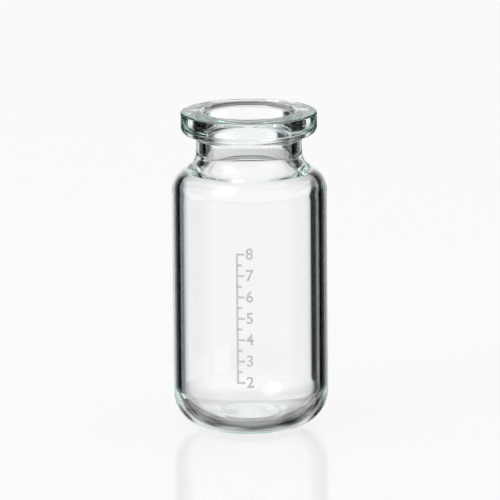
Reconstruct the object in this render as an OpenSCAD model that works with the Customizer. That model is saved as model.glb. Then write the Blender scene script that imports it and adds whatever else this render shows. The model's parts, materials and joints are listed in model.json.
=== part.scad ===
// Headspace sample vial, 10 ml: one piece of clear tubing glass, open at the top.
// The vial stands on z = 0 and its axis is Z. All sizes are in millimetres.
// The whole section, outside and inside, is one closed outline that is turned about the axis.

/* [Body] */
// Height from the standing ring to the top of the lip
overall_h = 46.5; // [36:0.5:75]
// Outside diameter of the body
body_d = 22.5; // [18:0.1:30]
// Thickness of the tubing wall
wall = 1.15; // [0.8:0.05:1.6]

/* [Base] */
// Outside radius of the heel, where the wall turns into the base
heel_r = 5.4; // [3.5:0.1:7]
// Inside radius of the heel; a large one leaves more glass in the corner
heel_in_r = 4.7; // [2.5:0.1:6]
// Thickness of the base over the ring that the vial stands on
base_t = 1.3; // [1:0.1:2.5]
// Width of the flat ring that the vial stands on
stand_w = 1; // [0.4:0.1:1.5]
// Height of the push-up under the middle of the base
push_up = 0.6; // [0.2:0.1:1.5]
// Rise of the inside over the push-up
push_up_in = 1; // [0.2:0.1:1.5]
// Radius inside, where the base turns up into the push-up
push_bend_r = 1.5; // [0.5:0.1:3]

/* [Shoulder] */
// Outside radius where the body wall turns in
shoulder_r = 3.7; // [2:0.1:5]
// Outside radius where the shoulder turns up into the neck
neck_bend_r = 2.6; // [1:0.1:4]
// Furthest that the shoulder leans over from the vertical, in degrees
shoulder_lean = 64; // [40:1:75]
// Inside radius where the shoulder turns up into the bore
neck_bend_in_r = 2.7; // [1:0.1:5]
// Furthest that the inside of the shoulder leans over, in degrees
shoulder_in_lean = 70; // [40:1:75]

/* [Neck] */
// Outside diameter of the neck
neck_d = 15.4; // [14.5:0.1:17]
// Length of the straight neck, from the shoulder to the root of the flange
neck_l = 2.2; // [1:0.1:6]
// Diameter of the bore through neck and mouth
bore_d = 12.5; // [10:0.1:13]

/* [Crimp flange] */
// Outside diameter of the flange
flange_d = 19.8; // [18:0.05:22]
// Height from the top of the lip to the flange's lower corner
flange_h = 3.05; // [2.8:0.05:5]
// Slope of the flange's top face, down towards its rim, in degrees
bevel = 2; // [1:1:14]
// Slope of the flange's underside, up towards its rim, in degrees
undercut = 19; // [5:1:25]
// Rounding of the flange's upper edge
rim_top_r = 0.3; // [0.2:0.05:0.6]
// Rounding of the flange's lower edge
rim_low_r = 1.1; // [0.3:0.05:1.3]
// Fillet between the flange's underside and the neck
root_r = 0.5; // [0.2:0.1:0.8]
// Rounding of the lip, where the bore meets the top face
lip_r = 0.9; // [0.4:0.05:1.3]

/* [Hidden] */
$fn = 180;
// Turn between two neighbouring points of a rounded stretch, in degrees
arc_step = 4;
glass_tint = [0.80, 0.90, 0.88, 0.45];

body_r = body_d / 2;
body_in_r = body_r - wall;
neck_r = neck_d / 2;
bore_r = bore_d / 2;
flange_r = flange_d / 2;

// Base: where the heel ends and where the push-up starts, outside and inside
heel_x = body_r - heel_r;
heel_in_x = body_in_r - heel_in_r;
stand_in_x = min(heel_x - stand_w, heel_in_x);

// Flange, from the top of the lip down
lip_x = bore_r + lip_r;
lip_z = overall_h - lip_r;
bevel_x = lip_x + lip_r * sin(bevel);
bevel_z = lip_z + lip_r * cos(bevel);
rim_top_z = bevel_z - (flange_r - bevel_x) * tan(bevel);
rim_low_z = overall_h - flange_h;
root_z = rim_low_z - (flange_r - neck_r) * tan(undercut);

// Root fillet and lower rounding share the underside, and both shrink where it is too short.
underside_l = (flange_r - neck_r) / cos(undercut);
underside_share = min(1, underside_l / setback(root_r + rim_low_r, 90 - undercut));
root_fillet = root_r * underside_share;
rim_low = rim_low_r * underside_share;

// Shoulder: two bends that turn by the same angle, with a straight cone between them where the
// body is much wider than the neck. The inside shares the centre of the first bend.
shoulder_in_r = shoulder_r - wall;
lean = s_lean(body_r - neck_r, shoulder_r + neck_bend_r, shoulder_lean);
lean_in = s_lean(body_in_r - bore_r, shoulder_in_r + neck_bend_in_r, shoulder_in_lean);
neck_z = root_z - neck_l;
shoulder_z = neck_z - s_rise(body_r - neck_r, shoulder_r + neck_bend_r, lean);
neck_in_z = shoulder_z + s_rise(body_in_r - bore_r, shoulder_in_r + neck_bend_in_r, lean_in);

// Angle that two bends, whose radii add up to radii, turn through to step in by run, up to limit
function s_lean(run, radii, limit) = min(limit, acos(max(-1, 1 - run / radii)));

// Height that the same two bends and the cone between them take up
function s_rise(run, radii, turn) =
    radii * sin(turn) + (run - radii * (1 - cos(turn))) / tan(turn);

// Points of a rounded stretch about a centre, from one angle to another, both ends included
function arc(centre, r, from, to) =
    let (steps = max(2, ceil(abs(to - from) / arc_step)))
    [for (i = [0 : steps])
        let (a = from + (to - from) * i / steps)
        centre + r * [cos(a), sin(a)]];

// Distance from a corner to where a rounding that turns by the given angle starts
function setback(r, turn) = r * tan(turn / 2);

// Push-up from the axis out to the ring round it: z is the ring's level, rise the height in the
// middle and bend_r the radius of the turn beside the ring
function push_curve(z, rise, bend_r) =
    let (
        turn = 2 * atan(rise / stand_in_x),
        dome_r = stand_in_x / sin(turn) - bend_r)
    concat(
        arc([0, z + rise - dome_r], dome_r, 90, 90 - turn),
        arc([stand_in_x, z + bend_r], bend_r, 270 - turn, 270));

// Body wall to neck, upwards
function shoulder_curve(wall_r, first_r, first_z, tube_r, second_r, second_z, turn) =
    concat(
        arc([wall_r - first_r, first_z], first_r, 0, turn),
        arc([tube_r + second_r, second_z], second_r, 180 + turn, 180));

function reversed(points) = [for (i = [len(points) - 1 : -1 : 0]) points[i]];

outside =
    concat(
        push_curve(0, push_up, push_bend_r + base_t),
        arc([heel_x, heel_r], heel_r, 270, 360),
        shoulder_curve(body_r, shoulder_r, shoulder_z, neck_r, neck_bend_r, neck_z, lean));

flange =
    concat(
        arc([neck_r + root_fillet, root_z - setback(root_fillet, 90 - undercut)], root_fillet,
            180, 90 + undercut),
        arc([flange_r - rim_low, rim_low_z + setback(rim_low, 90 - undercut)], rim_low,
            undercut - 90, 0),
        arc([flange_r - rim_top_r, rim_top_z - setback(rim_top_r, 90 - bevel)], rim_top_r,
            0, 90 - bevel),
        arc([lip_x, lip_z], lip_r, 90 - bevel, 180));

inside =
    concat(
        push_curve(base_t, push_up_in, push_bend_r),
        arc([heel_in_x, base_t + heel_in_r], heel_in_r, 270, 360),
        shoulder_curve(body_in_r, shoulder_in_r, shoulder_z, bore_r, neck_bend_in_r, neck_in_z,
            lean_in));

module vial() {
    color(glass_tint)
        rotate_extrude()
            polygon(concat(outside, flange, reversed(inside)));
}

vial();
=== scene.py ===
"""Clear headspace sample vial with a fired fill scale, on a pale floor in a white light tent.

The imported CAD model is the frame: every size here is in metres and in its axes, +Z up along the
vial's axis and -Y towards the front.
"""

import json
import math

import bpy
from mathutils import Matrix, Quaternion, Vector


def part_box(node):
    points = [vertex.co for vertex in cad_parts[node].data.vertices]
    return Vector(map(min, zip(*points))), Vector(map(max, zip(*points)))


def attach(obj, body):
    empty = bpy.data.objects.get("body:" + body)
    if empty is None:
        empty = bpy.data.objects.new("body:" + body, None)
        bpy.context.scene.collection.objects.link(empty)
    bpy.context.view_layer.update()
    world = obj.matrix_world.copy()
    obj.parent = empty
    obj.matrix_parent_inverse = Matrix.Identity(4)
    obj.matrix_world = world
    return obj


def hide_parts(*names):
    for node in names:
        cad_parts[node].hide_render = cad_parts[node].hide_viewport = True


bl_info = {
    "name": "Glass Sample Vial",
    "version": (1, 0, 0),
    "blender": (4, 5, 0),
    "location": "View3D > Sidebar > Vial",
    "description": "Models a crimp-neck glass vial, its fill scale and a studio for clear glass",
    "category": "Object",
}

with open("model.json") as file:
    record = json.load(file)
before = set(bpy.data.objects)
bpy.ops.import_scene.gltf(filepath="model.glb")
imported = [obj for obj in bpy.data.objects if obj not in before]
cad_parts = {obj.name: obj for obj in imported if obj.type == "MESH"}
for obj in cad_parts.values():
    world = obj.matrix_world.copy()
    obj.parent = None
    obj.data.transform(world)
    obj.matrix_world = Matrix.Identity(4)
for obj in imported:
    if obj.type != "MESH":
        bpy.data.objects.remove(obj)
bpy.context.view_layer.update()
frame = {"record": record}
mounts = {mount["name"]: mount for mount in frame["record"]["mounts"]}

MM = 0.001
BODY = "root"
FULL_TURN = 2 * math.pi
QUARTER_TURN = math.pi / 2
FACING_FRONT = (QUARTER_TURN, 0, 0)
# Points closer than this are one point
MERGE = 0.001 * MM
# A straight stretch has a point this close to each end
EDGE_LOOP = 0.2 * MM
VIAL_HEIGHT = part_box("vial")[1].z


def mount_radius(name):
    """Radius of a round mount, in metres."""
    return mounts[name]["dims"]["r_mm"] * MM


# ---------------------------------------------------------------- settings


def length(name, default, description, low=0.0):
    """A property that holds a length in metres."""
    return bpy.props.FloatProperty(
        name=name, default=default, description=description, min=low, precision=5,
        subtype="DISTANCE", unit="LENGTH",
    )


def angle(name, degrees, description):
    """A property that holds an angle; its default is given in degrees."""
    return bpy.props.FloatProperty(
        name=name, default=math.radians(degrees), description=description,
        subtype="ANGLE", unit="ROTATION",
    )


def amount(name, default, description, high=1.0):
    """A property that holds a plain number from 0 up."""
    return bpy.props.FloatProperty(
        name=name, default=default, description=description, min=0.0, max=high, precision=3,
    )


def count(name, default, description):
    """A property that holds a whole number."""
    return bpy.props.IntProperty(name=name, default=default, description=description, min=1)


def colour(name, default, description):
    """A property that holds a linear RGB colour."""
    return bpy.props.FloatVectorProperty(
        name=name, default=default, description=description, size=3, min=0.0, max=1.0,
        subtype="COLOR",
    )


class VialGlassSettings(bpy.types.PropertyGroup):
    """Sizes and finish of the glass."""

    height: length("Height", VIAL_HEIGHT, "From the standing ring to the top of the lip")
    body_radius: length("Body radius", mount_radius("body_barrel"), "Outside of the body")
    bore_radius: length("Bore radius", mount_radius("mouth_bore"), "Bore of neck and mouth")
    flange_radius: length("Flange radius", mount_radius("crimp_flange"), "Rim of the flange")
    neck_radius: length("Neck radius", 7.7 * MM, "Outside of the neck")
    neck_length: length("Neck length", 2.2 * MM, "Straight neck below the flange's root")
    wall: length("Wall", 1.15 * MM, "Thickness of the tubing")
    base_thickness: length("Base thickness", 1.3 * MM, "Thickness of the base over the ring")
    heel_radius: length("Heel radius", 5.4 * MM, "Outside bend from wall to base")
    heel_in_radius: length("Inner heel radius", 4.7 * MM, "Inside bend from wall to base")
    stand_width: length("Standing ring", 1.0 * MM, "Width of the flat ring it stands on")
    push_up: length("Push-up", 0.6 * MM, "Rise under the middle of the base")
    push_up_in: length("Inner push-up", 1.0 * MM, "Rise of the inside over the push-up")
    push_bend: length("Push-up bend", 1.5 * MM, "Inside bend beside the push-up")
    shoulder_radius: length("Shoulder radius", 3.7 * MM, "Outside bend from body to shoulder")
    neck_bend: length("Neck bend", 2.6 * MM, "Outside bend from shoulder to neck")
    shoulder_lean: angle("Shoulder lean", 64.0, "Furthest that the shoulder leans over")
    neck_bend_in: length("Inner neck bend", 2.7 * MM, "Inside bend from shoulder to bore")
    shoulder_in_lean: angle("Inner shoulder lean", 70.0, "Furthest that its inside leans over")
    flange_height: length("Flange height", 3.05 * MM, "From the lip's top to the lower corner")
    bevel: angle("Bevel", 2.0, "Slope of the flange's top face")
    undercut: angle("Undercut", 19.0, "Slope of the flange's underside")
    rim_top: length("Upper rim rounding", 0.3 * MM, "Rounding of the rim's upper edge")
    rim_low: length("Lower rim rounding", 1.1 * MM, "Rounding of the rim's lower edge")
    root: length("Root fillet", 0.5 * MM, "Fillet between flange and neck")
    lip: length("Lip rounding", 0.9 * MM, "Rounding of the lip")
    arc_step: angle("Arc step", 4.0, "Turn between two points of a rounded stretch")
    turn_steps: count("Turn steps", 192, "Steps in the turn about the axis")
    ior: amount("Index of refraction", 1.49, "Index of clear borosilicate glass", 3.0)
    tint: colour("Tint", (0.15, 0.97, 0.80), "Colour that deep glass takes on")
    tint_density: amount("Tint density", 9.0, "Absorption per metre of glass", 1000.0)


class VialScaleSettings(bpy.types.PropertyGroup):
    """Fired fill scale on the front of the body."""

    first_mark: length("First mark", 8.6 * MM, "Height of the lowest mark")
    first_fill: count("First fill", 2, "Millilitres at the lowest mark")
    last_fill: count("Last fill", 8, "Millilitres at the highest mark")
    ml_height: length("Height of 1 ml", 3.15 * MM, "Rise of the fill level for one millilitre")
    spine_x: length("Spine place", -1.85 * MM, "Where the spine stands, from the axis", -0.01)
    line_width: length("Line width", 0.3 * MM, "Width of the spine and of each tick")
    long_tick: length("Long tick", 1.0 * MM, "Tick at each numbered mark")
    short_tick: length("Short tick", 0.6 * MM, "Tick half-way between")
    digit_size: length("Digit size", 2.3 * MM, "Type size of the numbers")
    digit_gap: length("Digit gap", 0.2 * MM, "Gap from a long tick to its number")
    digit_swell: length("Digit swell", 0.03 * MM, "How much bolder than plain type a number is")
    film: length("Film", 0.03 * MM, "Thickness of the enamel, a third of it sunk in the glass")
    ink: colour("Ink", (0.48, 0.51, 0.50), "Fired enamel")
    ink_roughness: amount("Ink roughness", 0.5, "Roughness of the enamel")
    grain: amount("Grain", 2600.0, "How fine the unevenness of the enamel is", 10000.0)


class VialStudioSettings(bpy.types.PropertyGroup):
    """Floor, light and camera."""

    floor_size: length("Floor size", 8.0, "Side of the floor")
    floor_white: amount("Floor white", 0.985, "Brightness of the floor")
    floor_shade: amount("Floor shade", 0.12, "How much light and shadow the floor takes")
    floor_gloss: amount("Floor gloss", 0.16, "How strongly the floor mirrors the vial")
    floor_roughness: amount("Floor roughness", 0.09, "Roughness of the floor's gloss")
    backdrop: amount("Backdrop", 0.955, "Brightness of the white all round")
    ceiling: amount("Ceiling", 0.95, "Brightness of the tent's top, as the glass sees it")
    softbox_width: length("Softbox width", 0.20, "Width of the softbox")
    softbox_height: length("Softbox height", 0.36, "Height of the softbox")
    softbox_power: amount("Softbox power", 0.62, "Power of the softbox in watts", 100.0)
    softbox_place: bpy.props.FloatVectorProperty(
        name="Softbox place", default=(-0.265, -0.235, 0.355), size=3, precision=4,
        description="Where the softbox stands; it faces the foot of the vial",
        subtype="TRANSLATION", unit="LENGTH",
    )
    bounces: count("Bounces", 32, "How often light may pass through the glass or bounce off it")
    camera_distance: length("Camera distance", 1.60, "From the camera to the vial's middle")
    elevation: angle("Elevation", 11.5, "How far the camera looks down")
    roll: angle("Roll", -0.45, "How far the camera is rolled")
    picture_width: length("Picture width", 72.5 * MM, "Width seen at the vial")
    aim_height: length("Aim height", 25.9 * MM, "Height on the axis that the camera looks at")
    aim_side: length("Aim side", 0.04 * MM, "Sideways shift of the point looked at", -0.1)
    sensor_width: amount("Sensor width", 36.0, "Width of the camera's sensor in mm", 100.0)
    clip_start: length("Clip start", 0.01, "Nearest distance that the camera sees")
    clip_end: length("Clip end", 20.0, "Furthest distance that the camera sees")


# ---------------------------------------------------------------- modelling helpers


def deselect_all():
    """Nothing is selected afterwards."""
    if bpy.context.object and bpy.context.object.mode != "OBJECT":
        bpy.ops.object.mode_set(mode="OBJECT")
    bpy.ops.object.select_all(action="DESELECT")


class Outline:
    """A pen that draws an outline in the XZ plane by extruding and spinning one point."""

    def __init__(self, name, x, z, arc_step):
        deselect_all()
        bpy.ops.mesh.primitive_plane_add(size=MM)
        self.shape = bpy.context.object
        self.shape.name = self.shape.data.name = name
        self.arc_step = arc_step
        self.place = Vector((x, z))
        bpy.ops.object.mode_set(mode="EDIT")
        bpy.ops.mesh.select_all(action="SELECT")
        bpy.ops.mesh.merge(type="CENTER")
        bpy.ops.transform.translate(value=(x, 0, z))

    def line_to(self, x, z):
        """A straight stretch, with a point close to each end so that its shading stays flat."""
        move = Vector((x, z)) - self.place
        if move.length < MERGE:
            return
        near = min(EDGE_LOOP, move.length / 4)
        for part in (near, move.length - 2 * near, near):
            step = move.normalized() * part
            bpy.ops.mesh.extrude_vertices_move(
                TRANSFORM_OT_translate={"value": (step.x, 0, step.y)}
            )
        self.place += move

    def arc(self, centre_x, centre_z, turn):
        """A rounded stretch about a centre; turn is clockwise, seen with X right and Z up."""
        steps = max(2, math.ceil(abs(turn) / self.arc_step))
        bpy.ops.mesh.spin(
            steps=steps, angle=-turn, center=(centre_x, 0, centre_z), axis=(0, 1, 0),
            use_auto_merge=False,
        )
        centre = Vector((centre_x, centre_z))
        arm = self.place - centre
        self.place = centre + Vector((
            arm.x * math.cos(turn) + arm.y * math.sin(turn),
            arm.y * math.cos(turn) - arm.x * math.sin(turn),
        ))

    def revolve(self, steps):
        """Turns the outline about Z into a closed, smooth surface."""
        bpy.ops.mesh.select_all(action="SELECT")
        bpy.ops.mesh.spin(steps=steps, angle=FULL_TURN, center=(0, 0, 0), axis=(0, 0, 1))
        bpy.ops.mesh.select_all(action="SELECT")
        bpy.ops.mesh.remove_doubles(threshold=MERGE)
        bpy.ops.mesh.normals_make_consistent(inside=False)
        bpy.ops.object.mode_set(mode="OBJECT")
        bpy.ops.object.shade_smooth()
        return self.shape


def setback(radius, turn):
    """Distance from a corner to where a rounding that turns by that angle starts."""
    return radius * math.tan(turn / 2)


def push_curve(reach, rise, bend):
    """Turn and dome radius of a push-up that rises over reach, with a bend round its foot."""
    turn = 2 * math.atan(rise / reach)
    return turn, reach / math.sin(turn) - bend


def step_in(run, radii, lean_limit):
    """Turn and height of two equal bends, with a cone between, that step in by run."""
    turn = min(lean_limit, math.acos(max(-1.0, 1 - run / radii)))
    rise = radii * math.sin(turn) + (run - radii * (1 - math.cos(turn))) / math.tan(turn)
    return turn, rise


# ---------------------------------------------------------------- materials


def new_material(name):
    """A material with an empty node tree and its output node."""
    material = bpy.data.materials.new(name)
    material.use_nodes = True
    material.node_tree.nodes.clear()
    output = material.node_tree.nodes.new("ShaderNodeOutputMaterial")
    return material, material.node_tree, output


def add_node(tree, kind, **inputs):
    """A node with some of its inputs set; an underscore stands for the space in a name."""
    node = tree.nodes.new("ShaderNode" + kind)
    for name, value in inputs.items():
        node.inputs[name.replace("_", " ")].default_value = value
    return node


def calculate(tree, operation, *values):
    """A Math node's result; each value is a number or a socket."""
    node = tree.nodes.new("ShaderNodeMath")
    node.operation = operation
    for socket, value in zip(node.inputs, values):
        if isinstance(value, bpy.types.NodeSocket):
            tree.links.new(value, socket)
        else:
            socket.default_value = value
    return node.outputs[0]


def from_level(tree, value, low, high):
    """A factor that goes from 0 to 1 as value goes from low to high."""
    reach = tree.nodes.new("ShaderNodeMapRange")
    reach.inputs["From Min"].default_value = low
    reach.inputs["From Max"].default_value = high
    tree.links.new(value, reach.inputs["Value"])
    return reach.outputs["Result"]


def mixed(tree, factor, first, second, blend="MIX"):
    """A colour that goes from first to second as factor goes from 0 to 1."""
    mix = tree.nodes.new("ShaderNodeMix")
    mix.data_type = "RGBA"
    mix.blend_type = blend
    # The node keeps its colours at inputs 6 and 7 and at output 2
    sockets = mix.inputs[0], mix.inputs[6], mix.inputs[7]
    for socket, value in zip(sockets, (factor, first, second)):
        if isinstance(value, bpy.types.NodeSocket):
            tree.links.new(value, socket)
        elif isinstance(value, (int, float)) and socket.type == "RGBA":
            socket.default_value = (value, value, value, 1)
        else:
            socket.default_value = value
    return mix.outputs[2]


def ramp(tree, share, stops):
    """A ramp; share is a socket from 0 to 1, and each stop is a place and a grey or a colour."""
    node = tree.nodes.new("ShaderNodeValToRGB")
    tree.links.new(share, node.inputs[0])
    elements = node.color_ramp.elements
    elements.remove(elements[-1])
    for number, (place, level) in enumerate(stops):
        element = elements[0] if number == 0 else elements.new(place)
        element.position = place
        element.color = (*level, 1) if isinstance(level, tuple) else (level, level, level, 1)
    return node.outputs["Color"]


def glass_material(settings):
    """Clear tubing glass with a faint tint in its depth."""
    material, tree, output = new_material("vial_glass")
    surface = add_node(
        tree, "BsdfPrincipled", Base_Color=(1, 1, 1, 1), Roughness=0.0, IOR=settings.ior,
        Transmission_Weight=1.0,
    )
    depth = add_node(
        tree, "VolumeAbsorption", Color=(*settings.tint, 1), Density=settings.tint_density
    )
    tree.links.new(surface.outputs[0], output.inputs["Surface"])
    tree.links.new(depth.outputs[0], output.inputs["Volume"])
    return material


# Noise levels of the thickest and the thinnest enamel, and how much paler the thinnest is
GRAIN_RANGE = (0.35, 0.65)
THIN_INK = 1.18


def ink_material(settings):
    """Pale grey enamel, fired on and slightly uneven."""
    material, tree, output = new_material("scale_ink")
    place = add_node(tree, "TexCoord")
    grain = add_node(tree, "TexNoise", Scale=settings.grain, Detail=3.0)
    tree.links.new(place.outputs["Object"], grain.inputs["Vector"])
    thin = tuple(min(1.0, level * THIN_INK) for level in settings.ink)
    thinned = from_level(tree, grain.outputs[0], *GRAIN_RANGE)
    blend = mixed(tree, thinned, (*settings.ink, 1), (*thin, 1))
    surface = add_node(tree, "BsdfPrincipled", Roughness=settings.ink_roughness)
    tree.links.new(blend, surface.inputs["Base Color"])
    tree.links.new(surface.outputs[0], output.inputs["Surface"])
    return material


# ---------------------------------------------------------------- light


# The light tent as the glass sees it. A bright panel stands opposite each usual side to look
# from, and fades into black flags. An angle goes round from -180 to 180 degrees, anticlockwise
# seen from above, and 0 lies straight behind the vial, towards +Y.
SIDE_PANEL = (
    (-28, 0.05), (-18, 0.15), (-12, 0.05), (-10, 0.75), (-9, 1.00), (12.5, 1.00), (18, 0.60),
    (22, 0.25), (28, 0.05),
)


def with_panel(middle, *stops):
    """Brightness by angle: a side panel about its middle, and the stops of the rest of a ring."""
    return sorted([*((middle + turn, level) for turn, level in SIDE_PANEL), *stops])


# Stops that the rings at 14.2 and 15.8 degrees share; straight behind, the lower one is greyer
LOW_RING = (
    (-180, 0.30), (-165, 0.10), (-104, 1.00), (-80, 0.40), (-60, 0.00), (-30, 0.06), (-26, 0.08),
    (-19, 0.04), (-16, 0.02), (-13, 0.20), (-10.5, 0.70), (12.5, 0.70), (15, 0.55), (18, 0.34),
    (21, 0.18), (25, 0.05), (40, 0.00), (60, 0.12), (120, 0.30), (180, 0.30),
)
# Each ring of directions, with where it starts in degrees below the horizon. The levels above 1
# make up for what the glass reflects away near its edges.
RINGS = (
    (-90.0, (
        (-180, 1.00), (-120, 1.00), (-80, 0.10), (-60, 0.25), (-45, 0.00), (-16, 0.00),
        (-13, 0.08), (-9.5, 0.50), (0, 1.00), (9, 0.82), (15, 0.70), (18, 0.50), (21, 0.18),
        (25, 0.00), (30, 0.00), (36, 0.50), (41, 0.95), (49, 0.95), (58, 0.30), (80, 0.10),
        (120, 1.00), (180, 1.00),
    )),
    (-20.0, (
        (-180, 1.00), (-80, 1.00), (-60, 0.30), (-45, 0.20), (-36, 0.00), (-26, 0.00),
        (-22, 0.06), (-19, 0.10), (-16, 0.20), (-13, 0.35), (-10.5, 0.70), (-9.3, 0.95),
        (9, 1.00), (12.5, 0.36), (18, 0.38), (21, 0.20), (25, 0.00), (80, 0.00), (120, 0.85),
        (180, 1.00),
    )),
    (-8.0, (
        (-180, 1.00), (-120, 1.00), (-80, 0.00), (-30, 0.00), (-26, 0.06), (-22, 0.16),
        (-16, 0.25), (-13, 0.42), (-10.5, 0.66), (-9.3, 0.90), (0, 0.95), (9, 0.78),
        (12.5, 0.70), (15, 0.56), (18, 0.35), (21, 0.12), (25, 0.05), (30, 0.00), (60, 0.00),
        (80, 0.95), (120, 1.00), (180, 1.00),
    )),
    (0.0, with_panel(90,
        (-180, 0.35), (-80, 0.15), (-60, 0.00), (-36, 0.00), (-30, 0.10), (-26, 0.30), (-22, 0.40),
        (-16, 0.28), (-13, 0.22), (-10.5, 0.40), (-9.3, 0.96), (10, 0.98), (12.5, 0.90),
        (15, 0.68), (18, 0.38), (21, 0.14), (25, 0.04), (30, 0.00), (60, 0.00), (122, 0.05),
        (180, 0.35),
    )),
    (8.0, (
        (-180, 0.50), (-120, 0.60), (-80, 0.00), (-30, 0.00), (-26, 0.05), (-22, 0.26),
        (-19, 0.12), (-16, 0.03), (-11.3, 0.02), (-10.4, 0.45), (-9.7, 1.04), (-7.3, 1.05),
        (-4, 0.98), (4, 0.98), (7, 1.05), (9.3, 1.13), (11.7, 1.14), (13, 1.00), (14.5, 0.98),
        (15.5, 0.84), (17, 0.46), (19, 0.23), (22, 0.18), (24, 0.10), (27, 0.00), (90, 0.00),
        (100, 0.20), (120, 0.60), (180, 0.50),
    )),
    (14.2, with_panel(-135, *LOW_RING, (-9.3, 0.97), (9, 1.00))),
    (15.8, with_panel(-135, *LOW_RING, (-9.3, 0.82), (0, 0.86), (9, 0.90))),
    (20.0, (
        (-180, 0.30), (-120, 1.00), (-80, 0.60), (-60, 0.25), (-45, 0.00), (-36, 0.36),
        (-30, 0.30), (-22, 0.00), (-19, 0.15), (-16, 0.65), (-13, 0.38), (-9.3, 0.55),
        (0, 0.72), (9, 0.85), (12.5, 0.60), (15, 0.78), (18, 0.70), (21, 0.48), (25, 0.25),
        (30, 0.12), (34, 0.05), (36, 1.00), (57.5, 1.00), (63, 0.60), (67, 0.25), (73, 0.05),
        (120, 0.40), (180, 0.30),
    )),
    (28.0, (
        (-180, 0.00), (-100, 0.20), (-60, 0.46), (-45, 0.42), (-36, 0.22), (-30, 0.03),
        (-22, 0.02), (-16, 0.20), (-13, 0.02), (-10.5, 0.15), (-9.3, 0.50), (0, 0.14),
        (9, 0.58), (12.5, 0.34), (15, 0.32), (18, 0.05), (21, 0.00), (25, 0.08), (30, 0.20),
        (36, 0.10), (45, 0.15), (60, 0.36), (120, 0.20), (180, 0.00),
    )),
    (34.0, (
        (-180, 0.00), (-100, 0.30), (-60, 0.88), (-45, 0.36), (-36, 0.00), (-30, 0.06),
        (-26, 0.20), (-22, 0.12), (-19, 0.00), (-16, 0.00), (-13, 0.14), (-9.3, 0.56),
        (0, 0.34), (9, 0.62), (12.5, 0.10), (15, 0.00), (18, 0.15), (21, 0.38), (25, 0.25),
        (30, 0.00), (36, 0.00), (45, 0.25), (60, 0.25), (180, 0.00),
    )),
    (40.0, (
        (-180, 0.50), (-120, 0.50), (-80, 0.10), (-60, 0.38), (-36, 0.24), (-26, 0.00),
        (-19, 0.00), (-13, 0.18), (0, 0.10), (9, 0.46), (15, 0.24), (21, 0.08), (30, 0.30),
        (45, 0.22), (80, 0.35), (120, 0.95), (180, 0.50),
    )),
)
# Degrees of height that a ring takes to give way to the next, on each side of its start
RING_BLEND = 0.4
# Brightness by height, in degrees below the horizon, under the last ring
GROUND = ((50, 0.00), (54, 0.12), (58, 0.18), (62, 0.26), (68, 0.35), (76, 0.40), (84, 0.70))
# Colour of the light by angle round, near the height that the glass is usually seen from: cool
# beside the panel and warm at the far left
TONES = (
    (-180, (1.00, 1.00, 1.00)), (-90, (1.00, 1.00, 1.00)), (-60, (0.86, 1.00, 1.12)),
    (-13, (0.88, 1.00, 1.10)), (-9.5, (1.02, 1.00, 1.00)), (9, (1.02, 1.00, 1.00)),
    (13, (0.98, 1.00, 1.04)), (20, (0.88, 1.00, 1.10)), (32, (0.92, 1.00, 1.06)),
    (38, (1.10, 1.00, 0.88)), (60, (1.15, 1.00, 0.85)), (72, (1.00, 1.00, 1.00)),
    (180, (1.00, 1.00, 1.00)),
)
# Degrees below the horizon between which the tones come in, and those between which they go
TONES_IN = (-2, 2)
TONES_OUT = (17, 20)
# Degrees above the horizon between which the tent turns into its top
TOP_BLEND = (48, 60)


def tent_light(tree, direction, studio):
    """Light tent as the glass sees it, by the direction looked in."""
    parts = add_node(tree, "SeparateXYZ")
    tree.links.new(direction, parts.inputs[0])
    behind = calculate(tree, "MULTIPLY", parts.outputs["X"], -1)
    turn = calculate(tree, "ARCTAN2", behind, parts.outputs["Y"])
    compass = calculate(tree, "ADD", calculate(tree, "DIVIDE", turn, FULL_TURN), 0.5)
    # Degrees above and below the horizon
    above = calculate(
        tree, "MULTIPLY", calculate(tree, "ARCSINE", parts.outputs["Z"]), 180 / math.pi
    )
    below = calculate(tree, "MULTIPLY", above, -1)

    def round_ramp(stops):
        return ramp(tree, compass, [(degrees / 360 + 0.5, level) for degrees, level in stops])

    light = round_ramp(RINGS[0][1])
    for start, stops in RINGS[1:]:
        reached = from_level(tree, below, start - RING_BLEND, start + RING_BLEND)
        light = mixed(tree, reached, light, round_ramp(stops))
    depth = calculate(tree, "DIVIDE", below, 90)
    ground = ramp(tree, depth, [(degrees / 90, level) for degrees, level in GROUND])
    first, second = GROUND[0][0], GROUND[1][0]
    light = mixed(tree, from_level(tree, below, first, second), light, ground)
    tones_start, tones_end = TONES_OUT
    toned = calculate(
        tree, "MULTIPLY", from_level(tree, below, *TONES_IN),
        from_level(tree, above, -tones_end, -tones_start),
    )
    light = mixed(tree, toned, light, round_ramp(TONES), "MULTIPLY")
    return mixed(tree, from_level(tree, above, *TOP_BLEND), light, studio.ceiling)


def mix_shaders(tree, share, first, second):
    """A blend of two shaders; share is how much of the second there is."""
    mix = add_node(tree, "MixShader")
    mix.inputs[0].default_value = share
    tree.links.new(first.outputs[0], mix.inputs[1])
    tree.links.new(second.outputs[0], mix.inputs[2])
    return mix


def floor_material(studio):
    """White board with a faint gloss."""
    material, tree, output = new_material("studio_floor")
    white = (studio.floor_white,) * 3 + (1,)
    lit = add_node(tree, "Emission", Color=white)
    shaded = add_node(tree, "BsdfDiffuse", Color=white)
    board = mix_shaders(tree, studio.floor_shade, lit, shaded)
    gloss = add_node(tree, "BsdfGlossy", Roughness=studio.floor_roughness)
    glossed = mix_shaders(tree, studio.floor_gloss, board, gloss)
    tree.links.new(glossed.outputs[0], output.inputs["Surface"])
    return material


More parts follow.
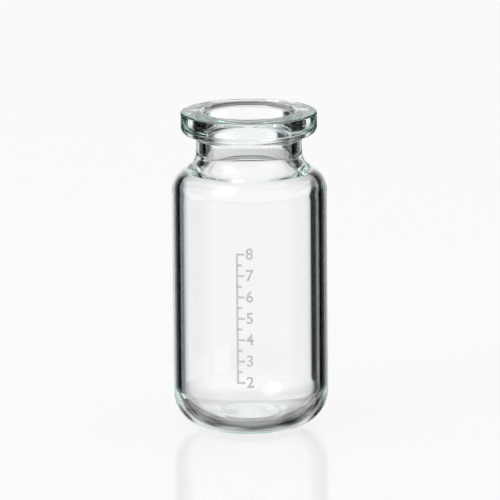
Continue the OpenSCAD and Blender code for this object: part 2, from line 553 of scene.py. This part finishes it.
def light_world(studio):
    """White all round to the eye and to plain surfaces, and the light tent to clear glass."""
    world = bpy.data.worlds.new("studio_world")
    bpy.context.scene.world = world
    world.use_nodes = True
    tree = world.node_tree
    tree.nodes.clear()
    output = tree.nodes.new("ShaderNodeOutputWorld")
    path = tree.nodes.new("ShaderNodeLightPath")
    place = add_node(tree, "TexCoord")
    tent = tent_light(tree, place.outputs["Generated"], studio)
    in_glass = calculate(
        tree, "MAXIMUM", path.outputs["Is Glossy Ray"], path.outputs["Is Transmission Ray"]
    )
    # What lights the enamel through the glass is plain white
    in_glass = calculate(tree, "GREATER_THAN", in_glass, path.outputs["Diffuse Depth"])
    background = add_node(tree, "Background")
    tree.links.new(mixed(tree, in_glass, studio.backdrop, tent), background.inputs["Color"])
    tree.links.new(background.outputs[0], output.inputs["Surface"])


# ---------------------------------------------------------------- pieces


class VIAL_OT_glass(bpy.types.Operator):
    """Draw the glass section with a pen and turn it about the axis"""

    bl_idname = "vial.glass"
    bl_label = "Glass Vial"

    def execute(self, context):
        glass = context.scene.vial_glass
        in_radius = glass.body_radius - glass.wall
        heel_x = glass.body_radius - glass.heel_radius
        heel_in_x = in_radius - glass.heel_in_radius
        stand_x = min(heel_x - glass.stand_width, heel_in_x)
        outer_bend = glass.push_bend + glass.base_thickness
        push_turn, outer_dome = push_curve(stand_x, glass.push_up, outer_bend)
        push_turn_in, inner_dome = push_curve(stand_x, glass.push_up_in, glass.push_bend)

        lip_x = glass.bore_radius + glass.lip
        lip_z = glass.height - glass.lip
        bevel_x = lip_x + glass.lip * math.sin(glass.bevel)
        bevel_z = lip_z + glass.lip * math.cos(glass.bevel)
        rim_top_z = bevel_z - (glass.flange_radius - bevel_x) * math.tan(glass.bevel)
        rim_low_z = glass.height - glass.flange_height
        root_z = rim_low_z - (glass.flange_radius - glass.neck_radius) * math.tan(glass.undercut)

        under_turn = QUARTER_TURN - glass.undercut
        top_turn = QUARTER_TURN - glass.bevel
        in_shoulder = glass.shoulder_radius - glass.wall
        lean, rise = step_in(
            glass.body_radius - glass.neck_radius,
            glass.shoulder_radius + glass.neck_bend, glass.shoulder_lean,
        )
        in_lean, in_rise = step_in(
            in_radius - glass.bore_radius, in_shoulder + glass.neck_bend_in,
            glass.shoulder_in_lean,
        )
        neck_z = root_z - glass.neck_length
        shoulder_z = neck_z - rise
        in_neck_z = shoulder_z + in_rise

        # Outside: push-up, standing ring, heel, wall and shoulder
        pen = Outline("glass_vial", 0, glass.push_up, glass.arc_step)
        pen.arc(0, glass.push_up - outer_dome, push_turn)
        pen.arc(stand_x, outer_bend, -push_turn)
        pen.line_to(heel_x, 0)
        pen.arc(heel_x, glass.heel_radius, -QUARTER_TURN)
        pen.line_to(glass.body_radius, shoulder_z)
        pen.arc(glass.body_radius - glass.shoulder_radius, shoulder_z, -lean)
        pen.line_to(
            glass.neck_radius + glass.neck_bend * (1 - math.cos(lean)),
            neck_z - glass.neck_bend * math.sin(lean),
        )
        pen.arc(glass.neck_radius + glass.neck_bend, neck_z, lean)

        # Flange: root, underside, rim, bevelled top and lip
        root_back = setback(glass.root, under_turn)
        low_back = setback(glass.rim_low, under_turn)
        top_back = setback(glass.rim_top, top_turn)
        pen.line_to(glass.neck_radius, root_z - root_back)
        pen.arc(glass.neck_radius + glass.root, root_z - root_back, under_turn)
        pen.line_to(
            glass.flange_radius - low_back * math.cos(glass.undercut),
            rim_low_z - low_back * math.sin(glass.undercut),
        )
        pen.arc(glass.flange_radius - glass.rim_low, rim_low_z + low_back, -under_turn)
        pen.line_to(glass.flange_radius, rim_top_z - top_back)
        pen.arc(glass.flange_radius - glass.rim_top, rim_top_z - top_back, -top_turn)
        pen.line_to(bevel_x, bevel_z)
        pen.arc(lip_x, lip_z, -(QUARTER_TURN + glass.bevel))

        # Inside: bore, shoulder, wall, heel and push-up
        pen.line_to(glass.bore_radius, in_neck_z)
        pen.arc(glass.bore_radius + glass.neck_bend_in, in_neck_z, -in_lean)
        pen.line_to(
            in_radius - in_shoulder * (1 - math.cos(in_lean)),
            shoulder_z + in_shoulder * math.sin(in_lean),
        )
        pen.arc(in_radius - in_shoulder, shoulder_z, in_lean)
        pen.line_to(in_radius, glass.base_thickness + glass.heel_in_radius)
        pen.arc(heel_in_x, glass.base_thickness + glass.heel_in_radius, QUARTER_TURN)
        pen.line_to(stand_x, glass.base_thickness)
        pen.arc(stand_x, glass.base_thickness + glass.push_bend, push_turn_in)
        pen.arc(0, glass.base_thickness + glass.push_up_in - inner_dome, -push_turn_in)

        vial = pen.revolve(glass.turn_steps)
        vial.data.materials.append(glass_material(glass))
        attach(vial, BODY)
        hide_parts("vial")
        return {"FINISHED"}


class VIAL_OT_scale(bpy.types.Operator):
    """Lay the spine, ticks and numbers of the fill scale on the front of the body"""

    bl_idname = "vial.scale"
    bl_label = "Fill Scale"

    def execute(self, context):
        scale = context.scene.vial_scale
        body_radius = context.scene.vial_glass.body_radius
        glass = bpy.data.objects["glass_vial"]
        # The marks are drawn flat, in front of the body
        drawing_y = -1.5 * body_radius
        parts = []

        def stroke(x, z, width, height, cuts):
            """A flat bar that faces the front, its middle at x and z."""
            deselect_all()
            bpy.ops.mesh.primitive_plane_add(
                size=MM, location=(x, drawing_y, z), rotation=FACING_FRONT
            )
            bpy.ops.object.mode_set(mode="EDIT")
            bpy.ops.transform.resize(value=(width / MM, 1, height / MM))
            bpy.ops.mesh.subdivide(number_cuts=cuts)
            bpy.ops.object.mode_set(mode="OBJECT")
            parts.append(context.object)

        fills = range(scale.first_fill, scale.last_fill + 1)
        span = scale.ml_height * (len(fills) - 1)
        root_x = scale.spine_x + scale.line_width / 4
        stroke(
            scale.spine_x, scale.first_mark + span / 2, scale.line_width,
            span + scale.line_width, cuts=1,
        )
        for fill in fills:
            mark_z = scale.first_mark + (fill - scale.first_fill) * scale.ml_height
            stroke(
                root_x + scale.long_tick / 2, mark_z, scale.long_tick, scale.line_width, cuts=4
            )
            if fill < scale.last_fill:
                stroke(
                    root_x + scale.short_tick / 2, mark_z + scale.ml_height / 2,
                    scale.short_tick, scale.line_width, cuts=3,
                )
            deselect_all()
            bpy.ops.object.text_add(
                location=(scale.spine_x + scale.long_tick + scale.digit_gap, drawing_y, mark_z),
                rotation=FACING_FRONT,
            )
            digit = context.object
            digit.data.body = str(fill)
            digit.data.size = scale.digit_size
            digit.data.offset = scale.digit_swell
            digit.data.align_y = "CENTER"
            digit.data.resolution_u = 4
            bpy.ops.object.convert(target="MESH")
            parts.append(context.object)

        deselect_all()
        for part in parts:
            part.select_set(True)
        ink = parts[0]
        context.view_layer.objects.active = ink
        bpy.ops.object.join()
        ink.name = ink.data.name = "fill_scale"
        bpy.ops.object.transform_apply(location=True, rotation=True, scale=True)
        bpy.ops.object.mode_set(mode="EDIT")
        bpy.ops.mesh.select_all(action="SELECT")
        bpy.ops.mesh.remove_doubles(threshold=MERGE)
        bpy.ops.mesh.dissolve_limited(angle_limit=math.radians(1), use_dissolve_boundaries=False)
        bpy.ops.mesh.quads_convert_to_tris(quad_method="BEAUTY", ngon_method="BEAUTY")
        bpy.ops.mesh.subdivide(number_cuts=1)
        bpy.ops.object.mode_set(mode="OBJECT")

        # Lay the flat marks on the glass, then give the enamel its thickness
        bpy.ops.object.modifier_add(type="SHRINKWRAP")
        lay = ink.modifiers[-1]
        lay.target = glass
        lay.wrap_method = "PROJECT"
        lay.use_project_y = True
        bpy.ops.object.modifier_apply(modifier=lay.name)
        bpy.ops.object.modifier_add(type="SOLIDIFY")
        film = ink.modifiers[-1]
        film.thickness = scale.film
        # A third of the enamel goes into the glass, and the rest stands proud of it
        film.offset = 1 / 3
        bpy.ops.object.modifier_apply(modifier=film.name)
        ink.data.materials.append(ink_material(scale))
        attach(ink, BODY)
        return {"FINISHED"}


class VIAL_OT_studio(bpy.types.Operator):
    """Set up the floor, the light and the camera"""

    bl_idname = "vial.studio"
    bl_label = "Studio"

    def execute(self, context):
        studio = context.scene.vial_studio
        deselect_all()
        bpy.ops.mesh.primitive_plane_add(size=studio.floor_size)
        floor = context.object
        floor.name = floor.data.name = "studio_floor"
        floor.data.materials.append(floor_material(studio))
        floor.visible_transmission = False
        floor.visible_glossy = False
        light_world(studio)

        bpy.ops.object.light_add(type="AREA")
        softbox = context.object
        softbox.name = "top_softbox"
        softbox.data.shape = "RECTANGLE"
        softbox.data.size = studio.softbox_width
        softbox.data.size_y = studio.softbox_height
        softbox.data.energy = studio.softbox_power
        softbox.location = studio.softbox_place
        softbox.rotation_mode = "QUATERNION"
        softbox.rotation_quaternion = softbox.location.to_track_quat("Z", "Y")
        softbox.visible_camera = False

        bpy.ops.object.camera_add()
        camera = context.object
        camera.name = "studio_camera"
        camera.data.sensor_width = studio.sensor_width
        camera.data.lens = studio.sensor_width * studio.camera_distance / studio.picture_width
        camera.data.clip_start = studio.clip_start
        camera.data.clip_end = studio.clip_end
        aim = Vector((studio.aim_side, 0, studio.aim_height))
        back = Vector((0, -math.cos(studio.elevation), math.sin(studio.elevation)))
        camera.location = aim + back * studio.camera_distance
        camera.rotation_mode = "QUATERNION"
        camera.rotation_quaternion = (
            (-back).to_track_quat("-Z", "Y") @ Quaternion((0, 0, 1), studio.roll)
        )
        context.scene.camera = camera

        context.scene.view_settings.view_transform = "Standard"
        cycles = context.scene.cycles
        cycles.use_denoising = True
        cycles.max_bounces = cycles.transmission_bounces = cycles.glossy_bounces = studio.bounces
        return {"FINISHED"}


class VIAL_PT_panel(bpy.types.Panel):
    """Buttons and sizes of the vial"""

    bl_label = "Glass Sample Vial"
    bl_idname = "VIAL_PT_panel"
    bl_space_type = "VIEW_3D"
    bl_region_type = "UI"
    bl_category = "Vial"

    def draw(self, context):
        for operator, settings in STEPS:
            self.layout.operator(operator.bl_idname)
            group = getattr(context.scene, settings)
            for name in group.__annotations__:
                self.layout.prop(group, name)


STEPS = (
    (VIAL_OT_glass, "vial_glass"),
    (VIAL_OT_scale, "vial_scale"),
    (VIAL_OT_studio, "vial_studio"),
)
GROUPS = {
    "vial_glass": VialGlassSettings,
    "vial_scale": VialScaleSettings,
    "vial_studio": VialStudioSettings,
}


def register():
    """Add the classes and the settings to Blender."""
    for group in GROUPS.values():
        bpy.utils.register_class(group)
    for operator, _ in STEPS:
        bpy.utils.register_class(operator)
    bpy.utils.register_class(VIAL_PT_panel)
    for name, group in GROUPS.items():
        setattr(bpy.types.Scene, name, bpy.props.PointerProperty(type=group))


def unregister():
    """Take the settings and the classes out again."""
    for name in GROUPS:
        delattr(bpy.types.Scene, name)
    bpy.utils.unregister_class(VIAL_PT_panel)
    for operator, _ in reversed(STEPS):
        bpy.utils.unregister_class(operator)
    for group in reversed(GROUPS.values()):
        bpy.utils.unregister_class(group)


def main():
    """Make every piece and the studio."""
    register()
    bpy.ops.vial.glass()
    bpy.ops.vial.scale()
    bpy.ops.vial.studio()


if __name__ == "__main__":
    main()
